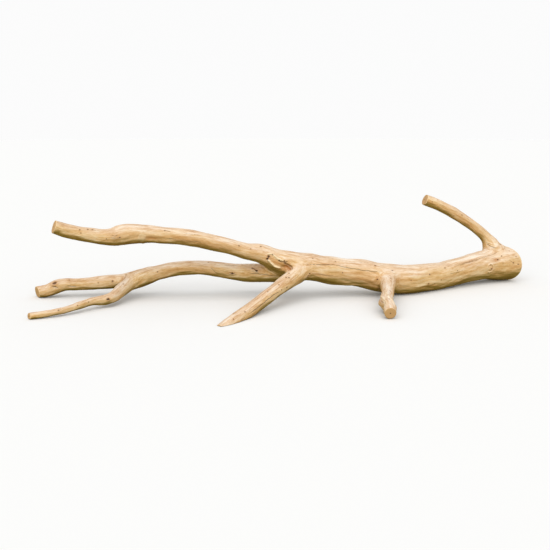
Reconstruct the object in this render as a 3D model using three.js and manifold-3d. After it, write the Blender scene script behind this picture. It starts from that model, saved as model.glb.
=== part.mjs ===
// Fallen tree branch: one grown, debarked piece of wood about 4.9 m long, lying on its belly.
// The heavy trunk runs from a sawn butt to a fork, where it parts into an upper and a lower limb.
// A straight prop and a short stub grow forwards and down to the ground, and a thin branch rises
// from the butt. The lower limb parts again into a back prong and a front prong.
// Millimetres, +Z up, +X along the trunk towards the butt, the origin on the ground in the middle.

import * as THREE from 'three';
import { mergeVertices } from 'three/addons/utils/BufferGeometryUtils.js';
import Module from 'manifold-3d';

// ---------------------------------------------------------------- driving dimensions

const FORK_GAP = 0.3; // clearance where the wood is split at a fork
const RING_SPACING = 62; // distance between two rings of a limb's skin
const BLOCK = 6000; // edge of the large block that makes a cut

// A limb is a list of stations along its heart: x, y, z and the radius of the wood there.

// The trunk and the upper limb are one smooth run, from the sawn butt to the raised tip.
const MAIN_RUN = [
  [2405, 901, 172, 172],
  [2300, 844, 172, 172],
  [2195, 801, 174, 165],
  [2075, 751, 176, 152],
  [1910, 668, 170, 138],
  [1695, 552, 148, 133],
  [1485, 418, 130, 133],
  [1285, 301, 131, 138],
  [1090, 212, 137, 142],
  [850, 157, 172, 138],
  [675, 140, 215, 131],
  [500, 120, 233, 129],
  [385, 99, 252, 130],
  [270, 87, 270, 124],
  [155, 75, 295, 118],
  [45, 59, 319, 116],
  [-125, 36, 364, 100],
  [-275, 12, 424, 87],
  [-425, -20, 462, 74],
  [-570, -56, 513, 72],
  [-715, -88, 552, 74],
  [-860, -116, 589, 76],
  [-1000, -136, 614, 76],
  [-1145, -152, 627, 75],
  [-1285, -167, 641, 81],
  [-1425, -186, 645, 89],
  [-1515, -204, 638, 91],
  [-1585, -219, 624, 82],
  [-1670, -241, 626, 69],
  [-1770, -266, 643, 66],
  [-1900, -306, 672, 62],
  [-1990, -342, 701, 60],
  [-2115, -392, 757, 58],
];

// The lower limb and the back prong are one smooth run too, from inside the trunk to the ground.
const LOWER_RUN = [
  [195, 86, 290, 90],
  [25, 128, 246, 93],
  [-52, 140, 230, 92],
  [-205, 140, 218, 88],
  [-358, 140, 217, 89],
  [-511, 140, 227, 79],
  [-663, 132, 253, 73],
  [-815, 124, 272, 68],
  [-966, 116, 273, 67],
  [-1118, 107, 259, 69],
  [-1270, 99, 223, 69],
  [-1424, 99, 179, 70],
  [-1579, 107, 150, 67],
  [-1732, 107, 137, 65],
  [-1883, 99, 124, 61],
  [-2032, 83, 117, 55],
  [-2124, 71, 118, 59],
  [-2217, 59, 96, 63],
  [-2301, 47, 64, 58],
  [-2455, 41, 46, 52],
];

const FRONT_PRONG = [
  [-1335, 106, 200, 60],
  [-1424, 81, 172, 70],
  [-1505, 18, 140, 65],
  [-1561, -109, 106, 58],
  [-1610, -266, 79, 51],
  [-1667, -332, 68, 47],
  [-1763, -406, 73, 36],
  [-1872, -532, 57, 31],
  [-1984, -632, 43, 29],
  [-2102, -697, 34, 28],
  [-2265, -756, 25, 29],
];

const PROP_BRANCH = [
  [185, 86, 300, 88],
  [69, -42, 242, 84],
  [-58, -211, 185, 70],
  [-154, -345, 142, 64],
  [-249, -479, 99, 61],
  [-345, -613, 57, 61],
  [-441, -747, 16, 61],
  [-572, -927, -40, 59],
  [-732, -1147, -112, 58],
];

const SHORT_STUB = [
  [957, 171, 175, 80],
  [907, -98, 134, 66],
  [876, -303, 117, 57],
  [846, -444, 102, 57],
  [838, -584, 82, 58],
  [835, -734, 56, 51],
  [836, -834, 46, 48],
];

const UPRIGHT_BRANCH = [
  [2220, 836, 190, 115],
  [2129, 829, 350, 88],
  [2060, 823, 451, 58],
  [1922, 799, 567, 54],
  [1786, 769, 659, 55],
  [1653, 745, 738, 54],
  [1522, 721, 802, 55],
  [1325, 688, 880, 54],
];

// The sawn ends: a point on the cut, and the direction that the cut faces.
const BUTT_CUT = { at: [2303, 846, 172], facing: [0.72, 0.69, 0] };
const UPPER_TIP_CUT = { at: [-2070, -374, 737], facing: [-0.84, -0.42, 0.34] };
const BACK_TIP_CUT = { at: [-2395, 44, 50], facing: [-0.82, -0.56, -0.1] };
const FRONT_TIP_CUT = { at: [-2217, -738, 28], facing: [-0.75, -0.65, 0.1] };
const PROP_CUT = { at: [-600, -951, 0], facing: [-0.6, -0.8, 0.05] };
const STUB_CUT = { at: [835, -747, 56], facing: [0.02, -0.97, -0.2] };
const UPRIGHT_CUT = { at: [1379, 696, 858], facing: [-0.9, -0.2, 0.38] };

// The ground trims the underside of the wood that lies on it to narrow flats, and the prop to a slanting foot.
const GROUND_CUT = { at: [0, 0, 0], facing: [0, 0, -1] };

// The planes of the two forks where one limb runs on as the next.
const MAIN_FORK = { at: [-15, 51, 341], facing: [-0.96, -0.12, 0.26] };
const LOWER_FORK = { at: [-1530, 105, 160], facing: [-0.98, 0.02, -0.18] };

// ---------------------------------------------------------------- solids

const wasm = await Module();
wasm.setup();

function solidOf(geometry) {
  const bare = geometry.clone();
  bare.deleteAttribute('normal');
  bare.deleteAttribute('uv');
  const merged = mergeVertices(bare, 1e-3);
  const vertProperties = new Float32Array(merged.attributes.position.array);
  const triVerts = new Uint32Array(merged.index.array);
  return new wasm.Manifold(new wasm.Mesh({ numProp: 3, vertProperties, triVerts }));
}

function geometryOf(solid) {
  const mesh = solid.getMesh();
  const geometry = new THREE.BufferGeometry();
  geometry.setAttribute('position', new THREE.BufferAttribute(mesh.vertProperties, 3));
  geometry.setIndex(new THREE.BufferAttribute(mesh.triVerts, 1));
  geometry.computeVertexNormals();
  return geometry;
}

// A closed cylinder is bent along the stations, and takes their radius plus what it is grown by.
function limb(stations, sides, grow = 0) {
  const heart = new THREE.CatmullRomCurve3(
    stations.map(([x, y, z]) => new THREE.Vector3(x, y, z)),
    false,
    'centripetal',
  );
  const steps = Math.round(heart.getLength() / RING_SPACING);
  const frames = heart.computeFrenetFrames(steps);
  const geometry = new THREE.CylinderGeometry(1, 1, 1, sides, steps);
  const position = geometry.attributes.position;
  const point = new THREE.Vector3();
  for (let i = 0; i < position.count; i += 1) {
    const ring = Math.round((0.5 - position.getY(i)) * steps);
    const t = heart.getUtoTmapping(ring / steps);
    const radius = radiusAt(stations, t) + grow;
    heart.getPoint(t, point);
    point.addScaledVector(frames.normals[ring], position.getX(i) * radius);
    point.addScaledVector(frames.binormals[ring], position.getZ(i) * radius);
    position.setXYZ(i, point.x, point.y, point.z);
  }
  return solidOf(geometry);
}

function radiusAt(stations, t) {
  const place = t * (stations.length - 1);
  const before = Math.min(Math.floor(place), stations.length - 2);
  return THREE.MathUtils.lerp(stations[before][3], stations[before + 1][3], place - before);
}

// A large block that fills everything beyond a cut, on the side that the cut faces.
function beyond(cut, gap = 0) {
  const facing = new THREE.Vector3(...cut.facing).normalize();
  const geometry = new THREE.BoxGeometry(BLOCK, BLOCK, BLOCK);
  geometry.translate(0, 0, BLOCK / 2 + gap);
  geometry.applyQuaternion(
    new THREE.Quaternion().setFromUnitVectors(new THREE.Vector3(0, 0, 1), facing),
  );
  geometry.translate(...cut.at);
  return solidOf(geometry);
}

function trimmed(solid, ...cuts) {
  return cuts.reduce((left, cut) => left.subtract(beyond(cut)), solid);
}

// ---------------------------------------------------------------- the wood, limb by limb

const TRUNK_SIDES = 20;
const LIMB_SIDES = 16;
const TWIG_SIDES = 14;

const mainRun = trimmed(limb(MAIN_RUN, TRUNK_SIDES), BUTT_CUT, UPPER_TIP_CUT, GROUND_CUT);
const mainRunGrown = limb(MAIN_RUN, TRUNK_SIDES, FORK_GAP);
const trunk = mainRun.subtract(beyond(MAIN_FORK));
const upperLimb = mainRun.intersect(beyond(MAIN_FORK, FORK_GAP));

const lowerRun = trimmed(limb(LOWER_RUN, LIMB_SIDES), BACK_TIP_CUT, GROUND_CUT).subtract(mainRunGrown);
const lowerRunGrown = limb(LOWER_RUN, LIMB_SIDES, FORK_GAP);
const lowerLimb = lowerRun.subtract(beyond(LOWER_FORK));
const backProng = lowerRun.intersect(beyond(LOWER_FORK, FORK_GAP));

const frontProng = trimmed(limb(FRONT_PRONG, TWIG_SIDES), FRONT_TIP_CUT, GROUND_CUT).subtract(lowerRunGrown);

const propBranch = trimmed(limb(PROP_BRANCH, LIMB_SIDES), PROP_CUT, GROUND_CUT)
  .subtract(mainRunGrown)
  .subtract(lowerRunGrown);

const shortStub = trimmed(limb(SHORT_STUB, LIMB_SIDES), STUB_CUT, GROUND_CUT).subtract(mainRunGrown);

const uprightBranch = trimmed(limb(UPRIGHT_BRANCH, LIMB_SIDES), UPRIGHT_CUT).subtract(mainRunGrown);

// ---------------------------------------------------------------- the scene graph

const WOOD = { roughness: 0.72, metalness: 0 };

function piece(name, solid, color) {
  const mesh = new THREE.Mesh(geometryOf(solid), new THREE.MeshStandardMaterial({ color, ...WOOD }));
  mesh.name = name;
  return mesh;
}

const branch = new THREE.Group();
branch.add(
  piece('trunk', trunk, 0xdcb98c),
  piece('upper_limb', upperLimb, 0xe3c49c),
  piece('lower_limb', lowerLimb, 0xd2ad7f),
  piece('back_prong', backProng, 0xd8b589),
  piece('front_prong', frontProng, 0xdfbd90),
  piece('prop_branch', propBranch, 0xe0bc8c),
  piece('short_stub', shortStub, 0xdab283),
  piece('upright_branch', uprightBranch, 0xe2c08f),
);

export default branch;
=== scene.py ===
# A fallen, debarked tree branch: one grown piece of pale wood that lies on its belly, on its prop and on the
# cut ends of its lower limbs. Metres, +Z up, +X towards the sawn butt, the origin on the ground in the middle.
# Each limb is laid out along its heart line, the limbs are fused into one skin, the skin is carved, and it is
# then sawn at the main forks into the pieces that the frame names.
import math

import bmesh
import bpy
import numpy as np
from mathutils import Matrix


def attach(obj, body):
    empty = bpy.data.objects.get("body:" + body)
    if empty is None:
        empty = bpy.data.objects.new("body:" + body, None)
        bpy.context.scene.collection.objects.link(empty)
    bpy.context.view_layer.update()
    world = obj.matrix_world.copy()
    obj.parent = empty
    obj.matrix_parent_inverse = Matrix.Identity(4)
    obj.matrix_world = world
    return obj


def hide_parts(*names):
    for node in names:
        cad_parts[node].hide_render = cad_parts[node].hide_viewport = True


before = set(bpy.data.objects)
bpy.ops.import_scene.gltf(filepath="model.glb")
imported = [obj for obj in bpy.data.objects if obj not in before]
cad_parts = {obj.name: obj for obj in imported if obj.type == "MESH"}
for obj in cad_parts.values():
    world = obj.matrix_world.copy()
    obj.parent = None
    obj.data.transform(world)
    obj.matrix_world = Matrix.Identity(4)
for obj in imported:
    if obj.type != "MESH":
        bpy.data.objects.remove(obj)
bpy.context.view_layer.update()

# ---------------------------------------------------------------- where the onlooker stands
# A person stands about 6.7 m in front of the branch, a little left of its middle, and looks 12 degrees down on
# it from eye level through a standard lens.
EYE = (-0.138, -6.696, 1.65)
LOOK_DOWN = 12           # degrees
SENSOR, LENS = 36, 47.8  # millimetres


def put(name, data):
    """A new object in the scene, at the origin."""
    made = bpy.data.objects.new(name, data)
    bpy.context.scene.collection.objects.link(made)
    return made


camera_data = bpy.data.cameras.new("onlooker")
camera_data.sensor_width = SENSOR
camera_data.lens = LENS
camera = put("onlooker", camera_data)
camera.location = EYE
camera.rotation_euler = (math.radians(90 - LOOK_DOWN), 0, 0)
bpy.context.scene.camera = camera

# ---------------------------------------------------------------- trunk and upper limb
# The stem grew as one run: the trunk from the sawn butt to the main fork, and past the fork the upper limb,
# which stays clear of the ground and ends in a saw cut. It is solid, debarked, sun-dried wood.


def soft_step(low, high, value):
    """0 below low, 1 above high, and a smooth rise between them."""
    t = np.clip((value - low) / (high - low), 0, 1)
    return t * t * (3 - 2 * t)


class Run:
    """Wood round a heart line. A station is x, y, z and the radius of the wood there.

    The angle round a run is 0 on top, 90 on its near side (the onlooker's), 180 below and -90 behind.
    """

    STEP = 0.024         # metres between the points of a heart line
    REACH = 0.30         # how far from its heart line a run's wood is looked for
    BATCH = 50000        # points laid at a time
    KNOT_LONG = 1.3      # a knot's length over its width
    KNOT_DEPTH = 0.55    # its hollow, in its own radii
    COLLAR_AT = 1.7      # the raised collar round it, in its own radii
    COLLAR_WIDE = 0.7

    def __init__(self, name, stations, collar=0.0, parent=None):
        self.name = name
        self.collar = collar
        self.cuts = []
        self.knots = []
        self.cracks = []
        self.swells = []
        self.stains_and_hollow_shades = []
        line = self.smooth_line(np.array(stations))
        self.heart = line[:, :3]
        self.radius = line[:, 3]
        step = np.linalg.norm(np.diff(self.heart, axis=0), axis=1)
        self.along = np.concatenate([[0.0], np.cumsum(step)])
        self.low = self.heart.min(0) - self.REACH
        self.high = self.heart.max(0) + self.REACH
        self.length = self.along[-1]
        way = np.gradient(self.heart, axis=0)
        self.way = way / np.linalg.norm(way, axis=1)[:, None]
        up = np.array([0.0, 0.0, 1.0]) - self.way * self.way[:, 2:]
        self.up = up / np.linalg.norm(up, axis=1)[:, None]
        self.near = np.cross(self.up, self.way)
        self.offset = parent.offset + parent.lay(self.heart[:1])[2][0] if parent else 0.0

    def smooth_line(self, stations):
        """A centripetal spline through the stations, in short steps; the radius follows it."""
        p = np.vstack([2 * stations[0] - stations[1], stations, 2 * stations[-1] - stations[-2]])
        gap = np.sqrt(np.linalg.norm(np.diff(p[:, :3], axis=0), axis=1))
        line = []
        for i in range(1, len(p) - 2):
            before, here, after = gap[i - 1], gap[i], gap[i + 1]
            run = (p[i + 1] - p[i]) / here
            leave = here * ((p[i] - p[i - 1]) / before - (p[i + 1] - p[i - 1]) / (before + here) + run)
            arrive = here * (run - (p[i + 2] - p[i]) / (here + after) + (p[i + 2] - p[i + 1]) / after)
            count = max(1, round(here * here / self.STEP))
            t = (np.arange(count) / count)[:, None]
            line.append(
                (2 * t**3 - 3 * t**2 + 1) * p[i]
                + (t**3 - 2 * t**2 + t) * leave
                + (3 * t**2 - 2 * t**3) * p[i + 1]
                + (t**3 - t**2) * arrive
            )
        return np.vstack(line + [p[-2:-1]])

    def lay(self, points):
        """Distance outside the round wood, the way out, metres along, and the up and near parts of the radius.

        A point out of the run's reach is only said to be far away.
        """
        far_away = [[1.0], [0.0], [1.0], [0.0]]
        distance, along, up_part, near_part = np.tile(far_away, len(points))
        way_out = np.zeros((len(points), 3))
        close = np.flatnonzero(((points > self.low) & (points < self.high)).all(1))
        heart = self.heart.astype(np.float32)
        squares = (heart**2).sum(1)
        for start in range(0, len(close), self.BATCH):
            pick = close[start:start + self.BATCH]
            some = points[pick]
            nearest = (squares - 2 * some.astype(np.float32) @ heart.T).argmin(1)
            best = np.full(len(pick), np.inf)
            for first in (np.clip(nearest - 1, 0, len(heart) - 2), np.clip(nearest, 0, len(heart) - 2)):
                span = self.heart[first + 1] - self.heart[first]
                t = np.clip(((some - self.heart[first]) * span).sum(1) / (span**2).sum(1), 0, 1)
                out = some - self.heart[first] - span * t[:, None]
                far = np.linalg.norm(out, axis=1)
                use = far < best
                best = np.where(use, far, best)
                at, first, t, out, far = pick[use], first[use], t[use], out[use], far[use]
                mix = t[:, None]
                up = self.up[first] * (1 - mix) + self.up[first + 1] * mix
                near = self.near[first] * (1 - mix) + self.near[first + 1] * mix
                distance[at] = far - self.radius[first] * (1 - t) - self.radius[first + 1] * t
                along[at] = self.along[first] * (1 - t) + self.along[first + 1] * t
                up_part[at] = (out * up).sum(1)
                near_part[at] = (out * near).sum(1)
                way_out[at] = out / np.maximum(far, 1e-9)[:, None]
        return distance, way_out, along, up_part, near_part

    def wrap(self, along, angle, radius, at, turn):
        """Metres along and round the run from a place on it, for points laid on the run."""
        return along - at, np.radians((angle - turn + 180) % 360 - 180) * radius

    def marks(self, along, up_part, near_part):
        """Metres of lift, and the knot, crack, stain and worn shades, of points laid on the run. The stain
        shade is also painted shade in the fork's hollows, and the worn shade painted highlight on the stub's
        ridges.
        """
        angle = np.degrees(np.arctan2(near_part, up_part))
        radius = np.hypot(up_part, near_part)
        lift, knot, crack, stain_and_hollow_shade, worn_and_highlight = np.zeros((5, len(along)))
        for at, turn, size, rise in self.knots:
            pick = np.flatnonzero(np.abs(along - at) < 5 * size)
            a, b = self.wrap(along[pick], angle[pick], radius[pick], at, turn)
            ring = np.hypot(a / self.KNOT_LONG, b) / size        # 1 at the knot's edge
            collar = rise * np.exp(-((ring - self.COLLAR_AT) / self.COLLAR_WIDE)**2)
            hollow = self.KNOT_DEPTH * size * (1 - soft_step(0.5, 1.2, ring))
            halo = 0.5 * (1 - soft_step(1.0, 3.2, ring))
            lift[pick] += collar - hollow
            knot[pick] = np.maximum(knot[pick], 1 - soft_step(0.6, 1.5, ring))
            stain_and_hollow_shade[pick] = np.maximum(stain_and_hollow_shade[pick], halo)
        for line, width, depth, shade in self.cracks:
            ends = [place[0] for place in line]
            pick = np.flatnonzero((along > min(ends) - 0.05) & (along < max(ends) + 0.05))
            far, end = self.off_line(along[pick], angle[pick], radius[pick], line)
            edge = far / np.maximum(width * end, 1e-5)
            lift[pick] -= depth * end * (1 - soft_step(0.0, 1.0, edge))
            if depth > 0:
                dark = shade * (1 - soft_step(0.4, 1.3, edge)) * soft_step(0.0, 0.3, end)
                crack[pick] = np.maximum(crack[pick], dark)
            # Welts are pale; on the stub's ridges that paleness is painted highlight as well as wear.
            else:
                worn_and_highlight[pick] = np.maximum(worn_and_highlight[pick], shade * (1 - soft_step(0.3, 1.3, edge)))
        for at, turn, long, wide, rise in self.swells:
            pick = np.flatnonzero(np.abs(along - at) < 3 * long)
            a, b = self.wrap(along[pick], angle[pick], radius[pick], at, turn)
            lift[pick] += rise * np.exp(-(a / long)**2 - (b / wide)**2)
        for at, turn, long, wide, shade in self.stains_and_hollow_shades:
            pick = np.flatnonzero(np.abs(along - at) < 3 * long)
            a, b = self.wrap(along[pick], angle[pick], radius[pick], at, turn)
            stain_and_hollow_shade[pick] = np.maximum(stain_and_hollow_shade[pick], shade * np.exp(-(a / long)**2 - (b / wide)**2))
        return lift, knot, crack, stain_and_hollow_shade, worn_and_highlight

    def off_line(self, along, angle, radius, line):
        """Metres off a crack's wandering line, and how full it is there: 0 at its ends, 1 in its middle."""
        far = np.full(len(along), 1.0)
        end = np.zeros(len(along))
        wander = 0.0012 * np.sin(along * 61) + 0.0009 * np.sin(along * 147 + 2)     # about a millimetre
        steps = [abs(b[0] - a[0]) + 1e-4 for a, b in zip(line, line[1:])]
        steps = np.concatenate([[0.0], np.cumsum(steps)])
        for k, (start, stop) in enumerate(zip(line, line[1:])):
            a, b = self.wrap(along, angle, radius, *start)
            b = b + wander
            run_a = stop[0] - start[0]
            run_b = np.radians(stop[1] - start[1]) * radius
            t = np.clip((a * run_a + b * run_b) / (run_a**2 + run_b**2), 0, 1)
            here = np.hypot(a - t * run_a, b - t * run_b)
            full = (steps[k] + t * (steps[k + 1] - steps[k])) / steps[-1]
            closer = here < far
            far = np.where(closer, here, far)
            end = np.where(closer, np.clip(8 * full * (1 - full), 0, 1), end)
        return far, end

    def saw(self, at, facing, rim):
        """A saw cut across the run: a point on it, the way it faces, and how far its rim is rounded."""
        facing = np.array(facing) / np.linalg.norm(facing)
        self.cuts.append((np.array(at), facing, rim))


main = Run("main", [
    (2.405, 0.901, 0.172, 0.172), (2.300, 0.844, 0.172, 0.172), (2.195, 0.801, 0.174, 0.165),
    (2.075, 0.751, 0.176, 0.152), (1.910, 0.668, 0.170, 0.138), (1.695, 0.552, 0.148, 0.133),
    (1.485, 0.418, 0.130, 0.133), (1.285, 0.301, 0.131, 0.138), (1.090, 0.212, 0.137, 0.142),
    (0.850, 0.157, 0.172, 0.138), (0.675, 0.140, 0.215, 0.131), (0.500, 0.120, 0.233, 0.129),
    (0.385, 0.099, 0.252, 0.130), (0.270, 0.087, 0.270, 0.124), (0.155, 0.075, 0.295, 0.118),
    (0.045, 0.059, 0.319, 0.116), (-0.125, 0.036, 0.364, 0.100), (-0.275, 0.012, 0.424, 0.087),
    (-0.425, -0.020, 0.462, 0.074), (-0.570, -0.056, 0.513, 0.072), (-0.715, -0.088, 0.552, 0.074),
    (-0.860, -0.116, 0.589, 0.076), (-1.000, -0.136, 0.614, 0.076), (-1.145, -0.152, 0.627, 0.075),
    (-1.285, -0.167, 0.641, 0.081), (-1.425, -0.186, 0.645, 0.089), (-1.515, -0.204, 0.638, 0.091),
    (-1.585, -0.219, 0.624, 0.082), (-1.670, -0.241, 0.626, 0.069), (-1.770, -0.266, 0.643, 0.066),
    (-1.900, -0.306, 0.672, 0.062), (-1.990, -0.342, 0.701, 0.060), (-2.115, -0.392, 0.757, 0.058),
])
main.saw(at=(2.303, 0.846, 0.172), facing=(0.72, 0.69, 0), rim=0.022)
main.saw(at=(-2.070, -0.374, 0.737), facing=(-0.84, -0.42, 0.34), rim=0.006)
MAIN_FORK = (np.array([-0.015, 0.051, 0.341]), np.array([-0.96, -0.12, 0.26]))

# Knots: metres along, degrees round, radius, and the rise of the collar round them.
main.knots = [
    (0.448, 93, 0.0075, 0.000), (0.35, 60, 0.0066, 0.001), (0.29, 47, 0.0046, 0.001),
    (0.30, 75, 0.0035, 0.000), (0.17, 77, 0.0046, 0.001), (0.12, 83, 0.0040, 0.000),
    (0.13, 55, 0.0040, 0.001), (0.17, 29, 0.0035, 0.000), (0.90, 69, 0.0040, 0.001),
    (1.04, 44, 0.0053, 0.001), (1.12, 94, 0.0035, 0.001), (1.205, 106, 0.0035, 0.000),
    (1.28, 102, 0.0053, 0.001), (1.26, 64, 0.0053, 0.001), (1.47, 82, 0.0035, 0.001),
    (1.65, 47, 0.0053, 0.001), (1.78, 90, 0.0053, 0.001), (1.745, 127, 0.0066, 0.002),
    (1.82, 35, 0.0059, 0.002), (2.13, 84, 0.0040, 0.001), (2.20, 36, 0.0040, 0.000),
    (2.42, 38, 0.0040, 0.001), (2.735, 82, 0.0046, 0.000), (2.685, 77, 0.0059, 0.001),
    (2.842, 80, 0.0095, 0.002), (2.846, 97, 0.0080, 0.001), (2.815, 63, 0.0046, 0.001),
    (2.93, 33, 0.0040, 0.001), (3.02, 61, 0.0040, 0.000), (3.14, 61, 0.0046, 0.001),
    (3.81, 46, 0.0035, 0.000), (4.46, 28, 0.0035, 0.000), (4.21, 93, 0.0050, 0.001),
    (4.50, 35, 0.0046, 0.001), (4.557, 76, 0.0035, 0.001), (4.57, 52, 0.0040, 0.001),
    (4.33, 95, 0.0035, 0.001),
]
# Cracks, and welts where the depth is less than nothing: the line, half its width, its depth and its shade.
main.cracks = [
    ([(2.53, 74), (2.42, 67), (2.32, 60), (2.22, 56), (2.09, 60), (1.92, 67), (1.81, 61), (1.70, 55)],
     0.0024, 0.005, 0.9),
    ([(0.91, 46), (0.73, 47), (0.56, 46)], 0.0022, 0.003, 0.7),
    ([(0.84, 43), (0.67, 42), (0.53, 40), (0.42, 34), (0.29, 28)], 0.0022, 0.003, 0.7),
    ([(1.02, 74), (0.90, 76), (0.80, 73)], 0.002, 0.002, 0.5),
    ([(2.41, 108), (2.30, 104), (2.18, 101)], 0.003, 0.002, 0.35),
    ([(2.38, 22), (2.24, 18), (2.10, 24)], 0.002, 0.002, 0.4),
    ([(2.05, 30), (1.93, 27), (1.86, 31)], 0.002, 0.002, 0.5),
    ([(3.82, 44), (3.75, 50)], 0.003, 0.003, 0.7),
    ([(3.64, 55), (3.50, 52)], 0.002, 0.002, 0.6),
    ([(3.80, 100), (3.71, 108), (3.58, 104), (3.45, 98)], 0.003, 0.003, 0.4),
    ([(4.48, 32), (4.38, 34)], 0.002, 0.002, 0.6),
    ([(2.87, 70), (2.83, 62), (2.80, 64), (2.77, 71), (2.73, 76), (2.70, 77)], 0.012, -0.010, 1.0),
    ([(2.85, 97), (2.81, 106), (2.765, 116), (2.725, 119), (2.695, 117)], 0.013, -0.013, 1.0),
    ([(2.745, 82), (2.72, 85), (2.68, 83), (2.65, 74)], 0.005, 0.007, 0.75),
    ([(2.842, 80), (2.846, 97)], 0.006, 0.010, 0.9),
    ([(2.69, 88), (2.65, 91), (2.61, 96), (2.595, 104)], 0.012, 0.014, 0.3),
    ([(0.22, 66), (0.165, 77)], 0.002, 0.002, 0.7),
    ([(4.04, 92), (3.98, 118)], 0.040, -0.003, 0.4),
    ([(4.29, 70), (4.25, 80), (4.22, 78)], 0.003, 0.003, 0.45),
    ([(4.30, 84), (4.26, 92), (4.21, 96)], 0.003, 0.003, 0.45),
    ([(0.51, 92), (0.49, 78), (0.46, 72), (0.43, 80), (0.42, 92), (0.44, 104), (0.475, 107), (0.50, 100)],
     0.010, -0.006, 0.2),
    ([(0.49, 88), (0.475, 80), (0.45, 79), (0.435, 88), (0.437, 98), (0.455, 102), (0.48, 98)],
     0.004, 0.003, 0.2),
]
# Swells and hollows: metres along, degrees round, reach along and round, and rise.
main.swells = [
    (4.00, 152, 0.018, 0.020, 0.008), (3.92, 107, 0.070, 0.022, -0.004), (2.645, 107, 0.045, 0.034, -0.022),
    (0.462, 90, 0.024, 0.022, 0.004), (4.74, 126, 0.020, 0.018, -0.006), (4.68, 76, 0.020, 0.015, 0.003),
    (2.92, 5, 0.070, 0.060, 0.008),
]
# Stains: metres along, degrees round, reach along and round, and depth of colour. The one at 2.64 m and 106
# degrees lies in the hollow under the main fork, and is painted shade there as well as the wood's orange.
main.stains_and_hollow_shades = [
    (0.375, 60, 0.045, 0.022, 1.0), (3.92, 107, 0.080, 0.018, 0.9), (2.64, 106, 0.055, 0.034, 1.0),
    (2.30, 104, 0.150, 0.010, 0.7), (1.95, 104, 0.120, 0.014, 0.5), (2.84, 88, 0.030, 0.030, 0.7),
    (4.25, 82, 0.050, 0.030, 0.4), (2.76, 95, 0.070, 0.030, 0.6), (2.66, 74, 0.030, 0.020, 0.5),
    (1.67, 84, 0.080, 0.040, 0.4), (1.80, 112, 0.080, 0.050, 0.4), (3.35, 98, 0.380, 0.040, 0.3),
    (3.10, 62, 0.200, 0.007, 0.5), (2.20, 52, 0.180, 0.006, 0.5), (1.35, 62, 0.220, 0.007, 0.5),
    (1.00, 88, 0.180, 0.008, 0.4), (0.75, 70, 0.180, 0.006, 0.5), (2.05, 84, 0.200, 0.008, 0.5),
    (3.55, 76, 0.160, 0.007, 0.5),
]

# ---------------------------------------------------------------- lower limb and back prong
# The second arm of the main fork sags behind and below the first. Past its own fork it runs on as the back
# prong, which has a swollen knot near its end and rests on a saw cut.
lower = Run("lower", [
    (0.195, 0.086, 0.290, 0.090), (0.025, 0.128, 0.246, 0.093), (-0.052, 0.140, 0.230, 0.092),
    (-0.205, 0.140, 0.218, 0.088), (-0.358, 0.140, 0.217, 0.089), (-0.511, 0.140, 0.227, 0.079),
    (-0.663, 0.132, 0.253, 0.073), (-0.815, 0.124, 0.272, 0.068), (-0.966, 0.116, 0.273, 0.067),
    (-1.118, 0.107, 0.259, 0.069), (-1.270, 0.099, 0.223, 0.069), (-1.424, 0.099, 0.179, 0.070),
    (-1.579, 0.107, 0.150, 0.067), (-1.732, 0.107, 0.137, 0.065), (-1.883, 0.099, 0.124, 0.061),
    (-2.032, 0.083, 0.117, 0.055), (-2.124, 0.071, 0.118, 0.059), (-2.217, 0.059, 0.096, 0.063),
    (-2.301, 0.047, 0.064, 0.058), (-2.455, 0.041, 0.046, 0.052),
], collar=0.075, parent=main)
lower.saw(at=(-2.395, 0.044, 0.050), facing=(-0.82, -0.56, -0.1), rim=0.006)
LOWER_FORK = (np.array([-1.530, 0.105, 0.160]), np.array([-0.98, 0.02, -0.18]))
lower.knots = [
    (0.56, 48, 0.0066, 0.003), (0.52, 65, 0.0079, 0.003), (0.755, 92, 0.0079, 0.002),
    (0.99, 24, 0.0040, 0.001), (1.46, 73, 0.0040, 0.001), (1.90, 76, 0.0059, 0.002),
    (2.04, 79, 0.0035, 0.000), (2.44, 42, 0.0130, 0.005), (2.32, 30, 0.0040, 0.001),
]
lower.cracks = [
    ([(0.575, 46), (0.55, 52), (0.525, 64), (0.505, 66)], 0.005, 0.006, 0.8),
    ([(0.725, 88), (0.755, 92), (0.785, 91)], 0.004, 0.005, 0.8),
    ([(0.59, 56), (0.555, 66), (0.52, 75), (0.50, 73)], 0.008, -0.006, 0.6),
    ([(0.715, 93), (0.75, 99), (0.79, 98)], 0.007, -0.005, 0.5),
    ([(0.60, 84), (0.52, 80), (0.44, 88), (0.30, 108)], 0.004, 0.004, 0.6),
    ([(0.965, 74), (0.93, 95), (0.89, 122)], 0.003, 0.003, 0.5),
    ([(0.85, 38), (0.77, 33), (0.70, 27)], 0.003, 0.003, 0.6),
    ([(1.20, 60), (1.10, 66), (1.02, 62)], 0.002, 0.002, 0.4),
    ([(2.34, 88), (2.30, 98), (2.25, 100)], 0.006, 0.005, 0.4),
    ([(2.475, 58), (2.445, 74), (2.42, 98)], 0.008, 0.007, 0.3),
]
lower.swells = [
    (0.54, 56, 0.016, 0.014, 0.005), (2.30, 60, 0.030, 0.040, -0.004), (2.42, 0, 0.050, 0.050, 0.005),
]
lower.stains_and_hollow_shades = [
    (0.54, 60, 0.050, 0.030, 0.5), (0.755, 92, 0.040, 0.015, 0.5), (2.43, 50, 0.030, 0.030, 0.6),
]

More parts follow.
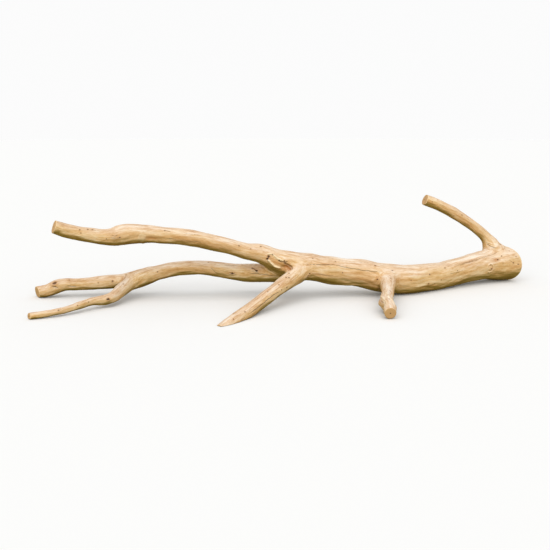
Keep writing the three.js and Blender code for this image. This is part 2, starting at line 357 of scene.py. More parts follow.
# ---------------------------------------------------------------- front prong
# A thin prong of the same wood leaves the lower limb forwards, turns left at a swollen elbow and runs out
# along the ground to a small slanting saw cut.
front = Run("front", [
    (-1.335, 0.106, 0.200, 0.060), (-1.424, 0.081, 0.172, 0.070), (-1.505, 0.018, 0.140, 0.065),
    (-1.561, -0.109, 0.106, 0.058), (-1.610, -0.266, 0.079, 0.051), (-1.667, -0.332, 0.068, 0.047),
    (-1.763, -0.406, 0.073, 0.036), (-1.872, -0.532, 0.057, 0.031), (-1.984, -0.632, 0.043, 0.029),
    (-2.102, -0.697, 0.034, 0.028), (-2.265, -0.756, 0.025, 0.029),
], collar=0.06, parent=lower)
front.saw(at=(-2.217, -0.738, 0.028), facing=(-0.75, -0.65, 0.1), rim=0.004)
front.knots = [
    (0.33, 19, 0.0046, 0.001), (0.595, 74, 0.0075, 0.004), (0.78, 65, 0.0035, 0.001),
    (0.89, 58, 0.0035, 0.001), (1.06, 54, 0.0040, 0.002),
]
front.cracks = [
    ([(0.615, 66), (0.58, 84)], 0.004, 0.005, 0.8),
    ([(0.16, -45), (0.22, -30), (0.28, -28)], 0.006, 0.008, 0.4),
]
front.swells = [(0.57, 80, 0.040, 0.030, 0.006)]
front.stains_and_hollow_shades = [(0.20, -60, 0.080, 0.040, 0.6)]

# ---------------------------------------------------------------- prop
# A straight branch grew out of the fork's near side. It comes forwards and down, and props the trunk up on
# the ground with a slanting foot. A long drying crack follows its grain.
prop = Run("prop", [
    (0.185, 0.086, 0.300, 0.088), (0.069, -0.042, 0.242, 0.084), (-0.058, -0.211, 0.185, 0.070),
    (-0.154, -0.345, 0.142, 0.064), (-0.249, -0.479, 0.099, 0.061), (-0.345, -0.613, 0.057, 0.061),
    (-0.441, -0.747, 0.016, 0.061), (-0.572, -0.927, -0.040, 0.059), (-0.732, -1.147, -0.112, 0.058),
], collar=0.034, parent=main)
prop.saw(at=(-0.600, -0.951, 0.000), facing=(-0.6, -0.8, 0.05), rim=0.004)
prop.knots = [
    (0.318, 11, 0.0040, 0.001), (0.368, 38, 0.0053, 0.002), (0.387, 23, 0.0053, 0.002),
    (0.455, 87, 0.0046, 0.001), (0.517, 33, 0.0046, 0.001), (0.531, 78, 0.0040, 0.001),
    (0.676, 22, 0.0040, 0.001), (0.112, 100, 0.0053, 0.001), (0.130, 112, 0.0066, 0.002),
    (1.042, 43, 0.0046, 0.002), (1.19, 36, 0.0040, 0.001),
]
prop.cracks = [
    ([(0.535, 80), (0.61, 75), (0.68, 73), (0.85, 76), (1.02, 79)], 0.0032, 0.006, 0.9),
    ([(1.07, 78), (1.14, 79)], 0.003, 0.004, 0.6),
    ([(0.47, 0), (0.65, -17), (0.86, -22), (1.02, -12)], 0.003, 0.003, 0.5),
    ([(0.18, 60), (0.30, 68), (0.42, 70)], 0.002, 0.002, 0.35),
]
prop.swells = [(0.235, -38, 0.035, 0.030, -0.014)]
prop.stains_and_hollow_shades = [
    # The first stain lies in the hollow where the prop leaves the fork: painted shade there as well as the
    # wood's orange.
    (0.235, -38, 0.040, 0.028, 1.0), (0.66, 10, 0.060, 0.015, 0.5), (0.13, 106, 0.030, 0.020, 0.5),
    (0.66, -18, 0.200, 0.012, 0.5), (0.75, 12, 0.240, 0.006, 0.8), (0.82, 46, 0.180, 0.005, 0.6),
    (0.45, 34, 0.120, 0.006, 0.6),
]

# ---------------------------------------------------------------- short stub
# A knobbly stub grew from the trunk's near side low down. It kinks twice, has a waist and a swollen end, and
# was sawn off just above the ground.
stub = Run("stub", [
    (0.957, 0.171, 0.175, 0.080), (0.907, -0.098, 0.134, 0.066), (0.876, -0.303, 0.117, 0.057),
    (0.846, -0.444, 0.102, 0.057), (0.838, -0.584, 0.082, 0.058), (0.835, -0.734, 0.056, 0.051),
    (0.836, -0.834, 0.046, 0.048),
], collar=0.05, parent=main)
stub.saw(at=(0.835, -0.747, 0.056), facing=(0.02, -0.97, -0.2), rim=0.006)
stub.knots = [
    (0.22, 18, 0.0053, 0.001), (0.55, 26, 0.0046, 0.001), (0.685, 7, 0.0040, 0.001),
    (0.76, 8, 0.0040, 0.001),
]
stub.cracks = [
    # The first two welts lie on the ridges over the stub's kink; their pale colour is painted highlight as
    # well as wear.
    ([(0.58, -20), (0.68, 5), (0.77, 30), (0.84, 55)], 0.009, -0.006, 0.7),
    ([(0.60, -70), (0.69, -48), (0.79, -30), (0.88, -18)], 0.009, -0.006, 0.6),
    ([(0.66, -60), (0.74, -66), (0.80, -50)], 0.006, 0.006, 0.3),
]
stub.swells = [
    (0.70, -92, 0.036, 0.034, 0.018), (0.82, -105, 0.034, 0.045, -0.022), (0.85, 72, 0.040, 0.036, 0.011),
    (0.71, 85, 0.040, 0.030, -0.006),
]
stub.stains_and_hollow_shades = [(0.73, -72, 0.040, 0.016, 0.6), (0.62, 30, 0.060, 0.014, 0.4)]

# ---------------------------------------------------------------- upright branch
# A thin branch grew up from the butt on a flared, creased collar. It leans back over the trunk and ends in a
# clean saw cut.
upright = Run("upright", [
    (2.220, 0.836, 0.190, 0.115), (2.129, 0.829, 0.350, 0.088), (2.060, 0.823, 0.451, 0.058),
    (1.922, 0.799, 0.567, 0.054), (1.786, 0.769, 0.659, 0.055), (1.653, 0.745, 0.738, 0.054),
    (1.522, 0.721, 0.802, 0.055), (1.325, 0.688, 0.880, 0.054),
], collar=0.08, parent=main)
upright.saw(at=(1.379, 0.696, 0.858), facing=(-0.9, -0.2, 0.38), rim=0.005)
upright.knots = [
    (0.18, 36, 0.0053, 0.001), (0.70, 67, 0.0035, 0.001), (0.77, 122, 0.0035, 0.001),
    (1.00, 37, 0.0035, 0.000), (1.055, 87, 0.0035, 0.000),
]
upright.cracks = [
    ([(0.262, 138), (0.245, 120), (0.215, 104), (0.195, 92), (0.185, 78)], 0.005, 0.005, 0.45),
    ([(0.29, 135), (0.27, 112), (0.245, 98), (0.22, 82)], 0.009, -0.005, 0.15),
    ([(0.98, 82), (0.90, 80)], 0.002, 0.002, 0.5),
]
upright.swells = [(0.20, 80, 0.030, 0.040, 0.005)]

runs = [main, lower, front, prop, stub, upright]

# Small knots and short drying cracks are scattered over the backs and undersides.
KNOTS_A_METRE = 4
CRACKS_A_METRE = 2
scatter = np.random.default_rng(5)
for run in runs:
    for _ in range(round(run.length * KNOTS_A_METRE)):
        at, turn, size = scatter.uniform([0.15, -165, 0.0035], [run.length - 0.15, -15, 0.0060])
        run.knots.append((at, turn, size, 0.001))
    for _ in range(round(run.length * CRACKS_A_METRE)):
        at, turn, long = scatter.uniform([0.15, -150, 0.10], [run.length - 0.45, -30, 0.30])
        line = [(at, turn), (at + long / 3, turn + 4), (at + long * 2 / 3, turn - 2), (at + long, turn + 1)]
        run.cracks.append((line, 0.0022, 0.003, 0.6))

# ---------------------------------------------------------------- the fused skin
# The limbs grew together, so their wood is one skin: tubes of rings are bridged, sawn, fused at one fine size
# and drawn onto the rounded shape that the heart lines give, with a collar at each fork.
SIDES = 28
RING_STEP = 2            # every second point of the heart line carries a ring
SKIN_SIZE = 0.0068       # the side of the skin's squares
GROUND_RIM = 0.010       # how far the edge of a flat on the ground is rounded


def tube(run):
    """A closed tube of rings round a run's heart line, sawn at its cuts and trimmed at the ground."""
    bm = bmesh.new()
    rings = []
    for k in range(0, len(run.heart), RING_STEP):
        axes = np.stack([run.up[k], run.near[k], run.way[k]]).T
        place = Matrix.Translation(run.heart[k]) @ Matrix(axes.tolist()).to_4x4()
        ring = bmesh.ops.create_circle(bm, segments=SIDES, radius=run.radius[k], matrix=place)
        rings.append(list({edge for vert in ring["verts"] for edge in vert.link_edges}))
    for ring, following in zip(rings, rings[1:]):
        bmesh.ops.bridge_loops(bm, edges=ring + following)
    bmesh.ops.holes_fill(bm, edges=bm.edges, sides=0)
    for at, facing, _ in run.cuts + [(np.zeros(3), np.array([0.0, 0.0, -1.0]), 0.0)]:
        everything = bm.verts[:] + bm.edges[:] + bm.faces[:]
        bmesh.ops.bisect_plane(bm, geom=everything, plane_co=at, plane_no=facing, clear_outer=True)
        bmesh.ops.holes_fill(bm, edges=[edge for edge in bm.edges if edge.is_boundary], sides=0)
    bmesh.ops.recalc_face_normals(bm, faces=bm.faces)
    return bm


def fused_mesh():
    """All the tubes, made one closed skin of even squares by a voxel remesh."""
    together = bmesh.new()
    for run in runs:
        bm = tube(run)
        part = bpy.data.meshes.new("tube")
        bm.to_mesh(part)
        bm.free()
        together.from_mesh(part)
        bpy.data.meshes.remove(part)
    rough = bpy.data.meshes.new("rough")
    together.to_mesh(rough)
    together.free()
    blank = put("blank", rough)
    fuse = blank.modifiers.new("fuse", "REMESH")
    fuse.mode = "VOXEL"
    fuse.voxel_size = SKIN_SIZE
    depsgraph = bpy.context.evaluated_depsgraph_get()
    skin = bpy.data.meshes.new_from_object(blank.evaluated_get(depsgraph))
    bpy.data.objects.remove(blank)
    bpy.data.meshes.remove(rough)
    return skin


def blend(a, way_a, b, way_b, width):
    """The lower of two distances with the corner between them rounded, and its way out."""
    share = np.clip(0.5 + 0.5 * (a - b) / width, 0, 1)
    distance = b * share + a * (1 - share) - width * share * (1 - share)
    return distance, way_b * share[:, None] + way_a * (1 - share[:, None])


def trim(a, way_a, b, way_b, width):
    """The higher of two distances with the corner between them rounded, and its way out."""
    distance, way = blend(-a, -way_a, -b, -way_b, width)
    return -distance, -way


def skin_distance(points):
    """Distance outside the fused wood, and the way out of it."""
    total = None
    for run in runs:
        distance, way = run.lay(points)[:2]
        for at, facing, rim in run.cuts:
            past = (points - at) @ facing
            distance, way = trim(distance, way, past, np.tile(facing, (len(points), 1)), rim)
        if total is None:
            total = distance, way
        else:
            total = blend(*total, distance, way, run.collar)
    down = np.tile([0.0, 0.0, -1.0], (len(points), 1))
    return trim(*total, -points[:, 2], down, GROUND_RIM)


def drawn_on(points, rounds):
    """The points, moved onto the fused wood's skin."""
    for _ in range(rounds):
        distance, way = skin_distance(points)
        points = points - way * (distance / np.maximum((way**2).sum(1), 0.2))[:, None]
    return points


GRAIN_SOFTNESS = 0.018   # how far the grain of two limbs runs together at a fork


def laid(points):
    """The points' distance to each run, and their grain coordinates, runs together at the forks."""
    lays = [run.lay(points) for run in runs]
    distance = np.stack([lay[0] for lay in lays])
    share = np.exp(-(distance - distance.min(0)) / GRAIN_SOFTNESS)
    share /= share.sum(0)
    own = [np.stack([lay[3], lay[4], lay[2] + run.offset], axis=1) for run, lay in zip(runs, lays)]
    grain = sum(part * coords for part, coords in zip(share[:, :, None], own))
    return lays, distance, share, grain


def marked(points):
    """Lift and shades of all the runs' marks, each kept to its own run's side of a fork."""
    lays, distance, share, grain = laid(points)
    total = np.zeros((5, len(points)))
    for run, lay, part in zip(runs, lays, share):
        pick = np.flatnonzero(part > 0.02)
        lift, *shades = run.marks(lay[2][pick], lay[3][pick], lay[4][pick])
        side = np.clip(2 * part[pick], 0, 1)
        total[0, pick] += lift * side
        total[1:, pick] = np.maximum(total[1:, pick], np.array(shades) * side)
    sawn = np.zeros(len(points))
    for run, lay in zip(runs, lays):
        for at, facing, rim in run.cuts:
            past = (points - at) @ facing
            near = (np.linalg.norm(points - at, axis=1) < 0.3) & (lay[0] < 0.01)
            sawn = np.maximum(sawn, near * soft_step(-rim * 0.9 - 0.002, -rim * 0.25, past))
    return total, sawn, distance, grain


rng = np.random.default_rng(11)


def ripple(grain, across, length, count=28):
    """Soft waves in the wood, about so wide across the grain and so long along it."""
    total = np.zeros(len(grain))
    for _ in range(count):
        turn = rng.uniform(0, 2 * math.pi)
        wave = np.array([math.cos(turn) / across, math.sin(turn) / across, rng.normal() / length])
        total += np.sin(2 * math.pi * rng.uniform(0.5, 1.4) * (grain @ wave) + rng.uniform(0, 2 * math.pi))
    return total / math.sqrt(count / 2)


def places(bm):
    """Where the mesh's points are."""
    return np.array([vert.co[:] for vert in bm.verts])


# The fused skin is cut finer round knots, cracks, welts and saw rims before it is carved.
FAINT = 0.001            # a knot or crack counts from here
FAINT_WORN_AND_HIGHLIGHT = 0.02
FAINT_RIM = 0.01
skin = fused_mesh()
bm = bmesh.new()
bm.from_mesh(skin)
for rounds in (2, 1):
    points = drawn_on(places(bm), rounds)
    shades, sawn, _, _ = marked(points)
    _, knot, crack, _, worn_and_highlight = shades
    rim = sawn * (1 - sawn)
    marked_here = (np.maximum(knot, crack) > FAINT) | (worn_and_highlight > FAINT_WORN_AND_HIGHLIGHT) | (rim > FAINT_RIM)
    for vert, place in zip(bm.verts, points):
        vert.co = place
    bm.verts.ensure_lookup_table()
    bm.verts.index_update()
    wanted = [edge for edge in bm.edges if any(marked_here[vert.index] for vert in edge.verts)]
    bmesh.ops.subdivide_edges(bm, edges=wanted, cuts=1, use_grid_fill=True, use_single_edge=True)
points = drawn_on(places(bm), 1)

# The carving: slow swells in step with a limb's thickness, two sizes of fine waves, and the marks.
SWELL = 0.018            # of the radius
WAVE = 0.0009
FINE_WAVE = 0.0004
shades, sawn, distance, grain = marked(points)
_, way = skin_distance(points)
way /= np.linalg.norm(way, axis=1)[:, None]
radius = np.hypot(grain[:, 0], grain[:, 1])
lift = SWELL * radius * ripple(grain, 0.12, 0.40) + WAVE * ripple(grain, 0.050, 0.22)
lift += FINE_WAVE * ripple(grain, 0.022, 0.16)
lift = lift * (1 - sawn) + shades[0] * (1 - sawn)
points = points + way * lift[:, None]
points[:, 2] = np.maximum(points[:, 2], 0.0)
for vert, place in zip(bm.verts, points):
    vert.co = place
bm.to_mesh(skin)
bm.free()
skin.shade_smooth()

# ---------------------------------------------------------------- pieces
# The skin is parted at the forks into the trunk, the limbs, the prongs, the prop, the stub and the upright
# branch. Each is closed inside the fork by a plain cut face, and keeps the whole skin's shading at its seam.
NAMES = ["trunk", "upper_limb", "lower_limb", "back_prong", "front_prong", "prop_branch", "short_stub",
         "upright_branch"]
FIRST_PIECE = {"main": "trunk", "lower": "lower_limb", "front": "front_prong", "prop": "prop_branch",
               "stub": "short_stub", "upright": "upright_branch"}
nearest = distance.argmin(0)
piece_of = np.array([NAMES.index(FIRST_PIECE[run.name]) for run in runs])[nearest]
for run, (at, facing), beyond in ((main, MAIN_FORK, "upper_limb"), (lower, LOWER_FORK, "back_prong")):
    past = (nearest == runs.index(run)) & ((points - at) @ facing > 0)
    piece_of[past] = NAMES.index(beyond)

# Each point goes with most of its neighbours, a few times over, which tidies the line of the cut.
ROUNDS = 8
OWN_VOTE = 0.5
joined = np.empty(len(skin.edges) * 2, int)
skin.edges.foreach_get("vertices", joined)
for _ in range(ROUNDS):
    votes = np.zeros((len(piece_of), len(NAMES)))
    votes[np.arange(len(piece_of)), piece_of] = OWN_VOTE
    np.add.at(votes, (joined[::2], piece_of[joined[1::2]]), 1)
    np.add.at(votes, (joined[1::2], piece_of[joined[::2]]), 1)
    piece_of = votes.argmax(1)
rounding = np.empty(len(skin.vertices) * 3)
skin.vertex_normals.foreach_get("vector", rounding)
rounding = rounding.reshape(-1, 3)


def keep(mesh, name, values, kind="FLOAT", field="value"):
    """A value kept on each point of a mesh, for the finish to read."""
    layer = mesh.attributes.new(name, kind, "POINT")
    layer.data.foreach_set(field, np.ascontiguousarray(values, dtype=np.float32).ravel())


keep(skin, "grain", grain, "FLOAT_VECTOR", "vector")
keep(skin, "rounding", rounding, "FLOAT_VECTOR", "vector")
for name, values in zip(("knot", "crack", "stain_and_hollow_shade", "worn_and_highlight"), shades[1:]):
    keep(skin, name, values)
keep(skin, "sawn", sawn)

corners = np.empty(len(skin.loops), int)
skin.loops.foreach_get("vertex_index", corners)
starts = np.empty(len(skin.polygons), int)
skin.polygons.foreach_get("loop_start", starts)
face_piece = np.minimum.reduceat(piece_of[corners], starts)

# ---------------------------------------------------------------- wood finish
# Debarked wood, dried and bleached by the sun: honey and peach streaks along the grain, paler and pinker on
# top, partly from that bleaching and partly as painted light, and dark olive-brown below, as painted shade and
# a painted reflection of green lawn with some damp staining. It is dark in knots and cracks, with growth rings
# on the saw cuts.


def tint(red, green, blue):
    """A colour given as 0-255 display values, for a shader."""
    return tuple((value / 255) ** 2.2 for value in (red, green, blue)) + (1.0,)


def node(tree, kind, inputs=None, **settings):
    """A shader node with its settings, and its inputs set or linked."""
    made = tree.nodes.new(kind)
    for key, value in settings.items():
        setattr(made, key, value)
    for socket, value in (inputs or {}).items():
        if isinstance(value, bpy.types.NodeSocket):
            tree.links.new(value, made.inputs[socket])
        else:
            made.inputs[socket].default_value = value
    return made


def group(name, takes, gives):
    """An empty node group with named inputs and outputs, and its input and output nodes."""
    tree = bpy.data.node_groups.new(name, "ShaderNodeTree")
    for socket, kind, value in takes:
        made = tree.interface.new_socket(socket, in_out="INPUT", socket_type=kind)
        if value is not None:
            made.default_value = value
    for socket, kind in gives:
        tree.interface.new_socket(socket, in_out="OUTPUT", socket_type=kind)
    return tree, tree.nodes.new("NodeGroupInput"), tree.nodes.new("NodeGroupOutput")


def spread(tree, value, low, high, to_low=0.0, to_high=1.0):
    """The value mapped smoothly from one span to another, and held at its ends."""
    made = node(tree, "ShaderNodeMapRange", {0: value, 1: low, 2: high, 3: to_low, 4: to_high},
                interpolation_type="SMOOTHSTEP")
    return made.outputs[0]


def sums(tree, operation, a, b):
    """One step of arithmetic on two values."""
    return node(tree, "ShaderNodeMath", {0: a, 1: b}, operation=operation).outputs[0]


def mixed(tree, share, a, b, blend_type="MIX"):
    """Two colours mixed."""
    made = node(tree, "ShaderNodeMix", {0: share, 6: a, 7: b}, data_type="RGBA", blend_type=blend_type)
    return made.outputs[2]


# Streaks that run with the grain. Across and Along are how many there are to a metre.
streaks, takes, gives = group("streaks", [
    ("Grain", "NodeSocketVector", None), ("Across", "NodeSocketFloat", 30.0),
    ("Along", "NodeSocketFloat", 2.0), ("Detail", "NodeSocketFloat", 3.0),
    ("Wander", "NodeSocketFloat", 0.6),
], [("Streak", "NodeSocketFloat")])
stretch = node(streaks, "ShaderNodeCombineXYZ", {0: takes.outputs["Across"], 1: takes.outputs["Across"],
                                                 2: takes.outputs["Along"]})
long_way = node(streaks, "ShaderNodeVectorMath", {0: takes.outputs["Grain"], 1: stretch.outputs[0]},
                operation="MULTIPLY")
cloud = node(streaks, "ShaderNodeTexNoise", {"Vector": long_way.outputs[0], "Scale": 1.0,
                                             "Detail": takes.outputs["Detail"], "Roughness": 0.55,
                                             "Distortion": takes.outputs["Wander"]})
streaks.links.new(spread(streaks, cloud.outputs[0], 0.30, 0.70), gives.inputs["Streak"])

# Growth rings round the heart, with fine drying checks that run out from it.
rings, takes, gives = group("growth_rings", [
    ("Grain", "NodeSocketVector", None), ("Rings", "NodeSocketFloat", 230.0),
], [("Ring", "NodeSocketFloat"), ("Check", "NodeSocketFloat"), ("Pith", "NodeSocketFloat")])
flat = node(rings, "ShaderNodeVectorMath", {0: takes.outputs["Grain"], 1: (1.0, 1.0, 0.0)},
            operation="MULTIPLY")
uneven = node(rings, "ShaderNodeTexNoise", {"Vector": flat.outputs[0], "Scale": 14.0, "Detail": 3.0})
out = node(rings, "ShaderNodeVectorMath", {0: flat.outputs[0]}, operation="LENGTH").outputs["Value"]
bent = sums(rings, "ADD", out, sums(rings, "MULTIPLY", uneven.outputs[0], 0.035))
wave = sums(rings, "SINE", sums(rings, "MULTIPLY", bent, takes.outputs["Rings"]), 0.0)
rings.links.new(spread(rings, wave, -0.6, 1.0), gives.inputs["Ring"])
parts = node(rings, "ShaderNodeSeparateXYZ", {0: flat.outputs[0]})
turn = sums(rings, "ARCTAN2", parts.outputs[1], parts.outputs[0])
ray = node(rings, "ShaderNodeCombineXYZ", {0: sums(rings, "MULTIPLY", turn, 4.0),
                                           1: sums(rings, "MULTIPLY", out, 6.0)})
split = node(rings, "ShaderNodeTexNoise", {"Vector": ray.outputs[0], "Scale": 2.2, "Detail": 4.0,
                                           "Roughness": 0.7})
rings.links.new(spread(rings, split.outputs[0], 0.66, 0.72), gives.inputs["Check"])
rings.links.new(spread(rings, out, 0.008, 0.004), gives.inputs["Pith"])

# Which way the wood faces. The upward share makes tops paler, partly sun bleaching and partly painted light;
# the downward share makes undersides darker, as painted shade and a painted lawn reflection with some damp
# staining. Both are broken up by soft patches.
weather_and_light, takes, gives = group("weather_and_light", [("Patch", "NodeSocketFloat", 4.0)],
                              [("Top", "NodeSocketFloat"), ("UnderDampAndShade", "NodeSocketFloat"),
                               ("Patches", "NodeSocketFloat")])
where = node(weather_and_light, "ShaderNodeTexCoord")
soft = node(weather_and_light, "ShaderNodeTexNoise", {"Vector": where.outputs["Object"], "Scale": takes.outputs["Patch"],
                                            "Detail": 3.0, "Roughness": 0.5})
facing = node(weather_and_light, "ShaderNodeSeparateXYZ", {0: node(weather_and_light, "ShaderNodeNewGeometry").outputs["Normal"]})
uneven = sums(weather_and_light, "MULTIPLY", sums(weather_and_light, "SUBTRACT", soft.outputs[0], 0.5), 0.9)
rise = sums(weather_and_light, "ADD", facing.outputs[2], uneven)
weather_and_light.links.new(spread(weather_and_light, rise, 0.10, 0.95), gives.inputs["Top"])
weather_and_light.links.new(spread(weather_and_light, rise, -0.15, -0.70), gives.inputs["UnderDampAndShade"])
weather_and_light.links.new(spread(weather_and_light, soft.outputs[0], 0.35, 0.65), gives.inputs["Patches"])


def placed(tree, which, **inputs):
    """A node group placed in a material with its own values."""
    return node(tree, "ShaderNodeGroup", inputs, node_tree=which).outputs


def reading(tree, name, socket="Fac"):
    """A value kept on the points, as a shader reads it."""
    return node(tree, "ShaderNodeAttribute", attribute_name=name).outputs[socket]


def material(name):
    """A new material, its node tree and its surface node."""
    made = bpy.data.materials.new(name)
    made.use_nodes = True
    return made, made.node_tree, made.node_tree.nodes["Principled BSDF"]


bare, tree, finish = material("bare_wood")
grain_way = reading(tree, "grain", "Vector")
broad = placed(tree, streaks, Grain=grain_way, Across=14.0, Along=1.3, Detail=3.0, Wander=0.8)["Streak"]
narrow = placed(tree, streaks, Grain=grain_way, Across=42.0, Along=5.0, Detail=4.0, Wander=0.7)["Streak"]
mottle = placed(tree, streaks, Grain=grain_way, Across=75.0, Along=17.0, Detail=3.0, Wander=1.2)["Streak"]
fibre = placed(tree, streaks, Grain=grain_way, Across=330.0, Along=14.0, Detail=3.0, Wander=0.3)["Streak"]
weathering_and_light = placed(tree, weather_and_light, Patch=3.2)
tone = sums(tree, "ADD", sums(tree, "MULTIPLY", broad, 0.35), sums(tree, "MULTIPLY", narrow, 0.40))
tone = sums(tree, "ADD", tone, sums(tree, "MULTIPLY", mottle, 0.25))


def toned(tree, value, *colours):
    """Colours laid evenly from the darkest streaks to the palest."""
    made = node(tree, "ShaderNodeValToRGB", {0: value})
    made.color_ramp.elements.remove(made.color_ramp.elements[1])
    for index, colour in enumerate(colours):
        position = 0.15 + 0.7 * index / (len(colours) - 1)
        stop = made.color_ramp.elements.new(position) if index else made.color_ramp.elements[0]
        stop.position = position
        stop.color = tint(*colour)
    return made.outputs[0]


def covered(tree, colour, amount, strength, over):
    """A colour with another laid over it, by an amount from 0 to 1 and at a strength."""
    return mixed(tree, sums(tree, "MULTIPLY", amount, strength), colour, over)


BLUSH = tint(232, 184, 142)
STAIN_AND_HOLLOW_SHADE = tint(184, 120, 64)
WORN_AND_HIGHLIGHT_CREAM = tint(252, 232, 194)
SAWN_DARK, SAWN_PALE, SAWN_RIM = tint(204, 158, 106), tint(226, 184, 132), tint(246, 220, 176)
CHECK_BROWN, PITH_BROWN = tint(110, 78, 50), tint(120, 84, 54)
KNOT_BROWN, CRACK_BROWN = tint(92, 66, 48), tint(84, 62, 44)
FIBRE_SHADE = 0.12       # how much darker the dark fibres are
FIBRE_RELIEF, MOTTLE_RELIEF = 0.0006, 0.0016
RINGS = 900.0            # radians of the ring wave to a metre, so a ring every 7 mm

flank = toned(tree, tone, (200, 148, 86), (225, 180, 120), (239, 202, 150), (249, 222, 180))
bleached_and_lit = toned(tree, tone, (208, 166, 130), (234, 202, 168), (247, 224, 200), (254, 242, 226))
damp_and_painted_shade = toned(tree, tone, (128, 100, 32), (152, 124, 48), (172, 144, 66))
colour = covered(tree, flank, weathering_and_light["Patches"], 0.20, BLUSH)
# Paler tops: sun bleaching, and painted light from above.
colour = covered(tree, colour, weathering_and_light["Top"], 0.80, bleached_and_lit)
# Dark olive-brown undersides: painted shade and a painted reflection of green lawn, with some damp staining.
colour = covered(tree, colour, weathering_and_light["UnderDampAndShade"], 0.90, damp_and_painted_shade)
dark_fibre = sums(tree, "SUBTRACT", 1.0, sums(tree, "MULTIPLY", fibre, FIBRE_SHADE))
grey = node(tree, "ShaderNodeCombineColor", {0: dark_fibre, 1: dark_fibre, 2: dark_fibre}).outputs[0]
colour = mixed(tree, 1.0, colour, grey, "MULTIPLY")
# Orange stains; in the hollows at the fork they are painted shade as well.
colour = covered(tree, colour, reading(tree, "stain_and_hollow_shade"), 0.72, STAIN_AND_HOLLOW_SHADE)
# Cream wear on welts and lips; on the stub's ridges it is painted highlight as well.
colour = covered(tree, colour, reading(tree, "worn_and_highlight"), 0.72, WORN_AND_HIGHLIGHT_CREAM)

# The saw cuts show their rings, checks and pith, and a paler line where their rim was rounded.
ring = placed(tree, rings, Grain=grain_way, Rings=RINGS)
face = mixed(tree, ring["Ring"], SAWN_DARK, SAWN_PALE)
face = covered(tree, face, ring["Check"], 0.8, CHECK_BROWN)
face = mixed(tree, ring["Pith"], face, PITH_BROWN)
sawn = reading(tree, "sawn")
rim = sums(tree, "MULTIPLY", sums(tree, "MULTIPLY", sawn, sums(tree, "SUBTRACT", 1.0, sawn)), 3.0)
colour = mixed(tree, sawn, colour, face)
colour = mixed(tree, rim, colour, SAWN_RIM)
colour = covered(tree, colour, reading(tree, "knot"), 0.85, KNOT_BROWN)
colour = covered(tree, colour, reading(tree, "crack"), 0.90, CRACK_BROWN)
tree.links.new(colour, finish.inputs["Base Color"])
tree.links.new(spread(tree, narrow, 0.0, 1.0, 0.72, 0.60), finish.inputs["Roughness"])
relief = sums(tree, "ADD", sums(tree, "MULTIPLY", fibre, FIBRE_RELIEF),
              sums(tree, "MULTIPLY", mottle, MOTTLE_RELIEF))
bump = node(tree, "ShaderNodeBump", {"Height": relief, "Strength": 0.6, "Distance": 1.0})
tree.links.new(bump.outputs[0], finish.inputs["Normal"])
finish.inputs["Specular IOR Level"].default_value = 0.3

# The cut faces inside the forks are fresh wood with the same rings.
fresh, tree, finish = material("fork_cut")
ring = placed(tree, rings, Grain=reading(tree, "grain", "Vector"), Rings=RINGS)
face = mixed(tree, ring["Ring"], tint(204, 158, 108), tint(228, 190, 142))
tree.links.new(face, finish.inputs["Base Color"])
tree.links.new(spread(tree, ring["Ring"], 0.0, 1.0, 0.82, 0.72), finish.inputs["Roughness"])

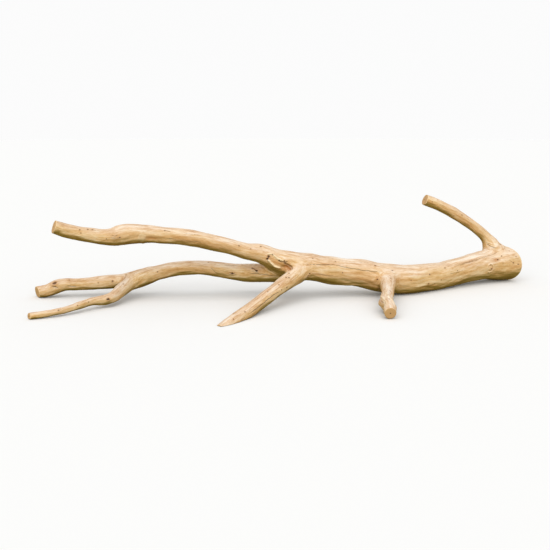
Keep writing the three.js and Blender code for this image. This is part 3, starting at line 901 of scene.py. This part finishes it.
# Each piece keeps its own faces of the skin, and its open end is closed by a fan of fresh wood.
for index, name in enumerate(NAMES):
    bm = bmesh.new()
    bm.from_mesh(skin)
    others = [face for face, owner in zip(bm.faces, face_piece) if owner != index]
    bmesh.ops.delete(bm, geom=others, context="FACES")
    open_edges = [edge for edge in bm.edges if edge.is_boundary]
    caps = bmesh.ops.holes_fill(bm, edges=open_edges, sides=0)["faces"]
    poked = bmesh.ops.poke(bm, faces=caps, center_mode="MEAN")
    grain_layer = bm.verts.layers.float_vector["grain"]
    for vert in poked["verts"]:
        ring_verts = [edge.other_vert(vert)[grain_layer] for edge in vert.link_edges]
        vert[grain_layer] = sum(ring_verts, start=ring_verts[0] * 0) / len(ring_verts)
    for face in poked["faces"]:
        face.material_index = 1
    bmesh.ops.recalc_face_normals(bm, faces=bm.faces)
    mesh = bpy.data.meshes.new(name + "_wood")
    bm.to_mesh(mesh)
    bm.free()
    mesh.materials.append(bare)
    mesh.materials.append(fresh)
    corners = np.empty(len(mesh.loops), int)
    mesh.loops.foreach_get("vertex_index", corners)
    ways = np.empty(len(mesh.vertices) * 3)
    mesh.attributes["rounding"].data.foreach_get("vector", ways)
    normals = ways.reshape(-1, 3)[corners]
    for polygon in mesh.polygons:
        if polygon.material_index == 1:
            normals[polygon.loop_start:polygon.loop_start + polygon.loop_total] = polygon.normal
    mesh.attributes.remove(mesh.attributes["rounding"])
    mesh.shade_smooth()
    mesh.normals_split_custom_set(normals)
    piece = put(name + "_wood", mesh)
    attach(piece, "root")
    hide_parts(name)
bpy.data.meshes.remove(skin)

# ---------------------------------------------------------------- ground and light
# A plain pale floor runs out to the same pale colour as the air, under one wide soft light from high in front.
# The floor and the air are pale to the eye, but give only as much light as a lawn and a thin cloud do.
FLOOR_RADIUS = 60
LAWN_LIGHT, FLOOR_PALE = (0.32, 0.30, 0.14, 1), (0.93, 0.93, 0.92, 1)
CLOUD_LIGHT, AIR_PALE = (0.67, 0.67, 0.67, 1), (0.97, 0.97, 0.97, 1)
SUN_STRENGTH = 1.8
SUN_WIDTH = 90           # degrees of sky that it fills
SUN_TILT = (48, -4)      # degrees from overhead, to the front and to the side


def seen_as(tree, light, look):
    """One colour for the light that is given off, and another for the eye."""
    eye = node(tree, "ShaderNodeLightPath").outputs["Is Camera Ray"]
    return mixed(tree, eye, light, look)


bm = bmesh.new()
bmesh.ops.create_circle(bm, cap_ends=True, segments=64, radius=FLOOR_RADIUS)
floor_mesh = bpy.data.meshes.new("floor")
bm.to_mesh(floor_mesh)
bm.free()
floor = put("floor", floor_mesh)
pale, tree, finish = material("pale_floor")
tree.links.new(seen_as(tree, LAWN_LIGHT, FLOOR_PALE), finish.inputs["Base Color"])
finish.inputs["Roughness"].default_value = 1.0
finish.inputs["Specular IOR Level"].default_value = 0.0
floor_mesh.materials.append(pale)

world = bpy.data.worlds.new("sky")
world.use_nodes = True
tree = world.node_tree
tree.links.new(seen_as(tree, CLOUD_LIGHT, AIR_PALE), tree.nodes["Background"].inputs["Color"])
bpy.context.scene.world = world
sun_data = bpy.data.lights.new("soft_sky", "SUN")
sun_data.energy = SUN_STRENGTH
sun_data.angle = math.radians(SUN_WIDTH)
sun = put("soft_sky", sun_data)
sun.rotation_euler = (math.radians(SUN_TILT[0]), math.radians(SUN_TILT[1]), 0)
bpy.context.scene.view_settings.view_transform = "Standard"
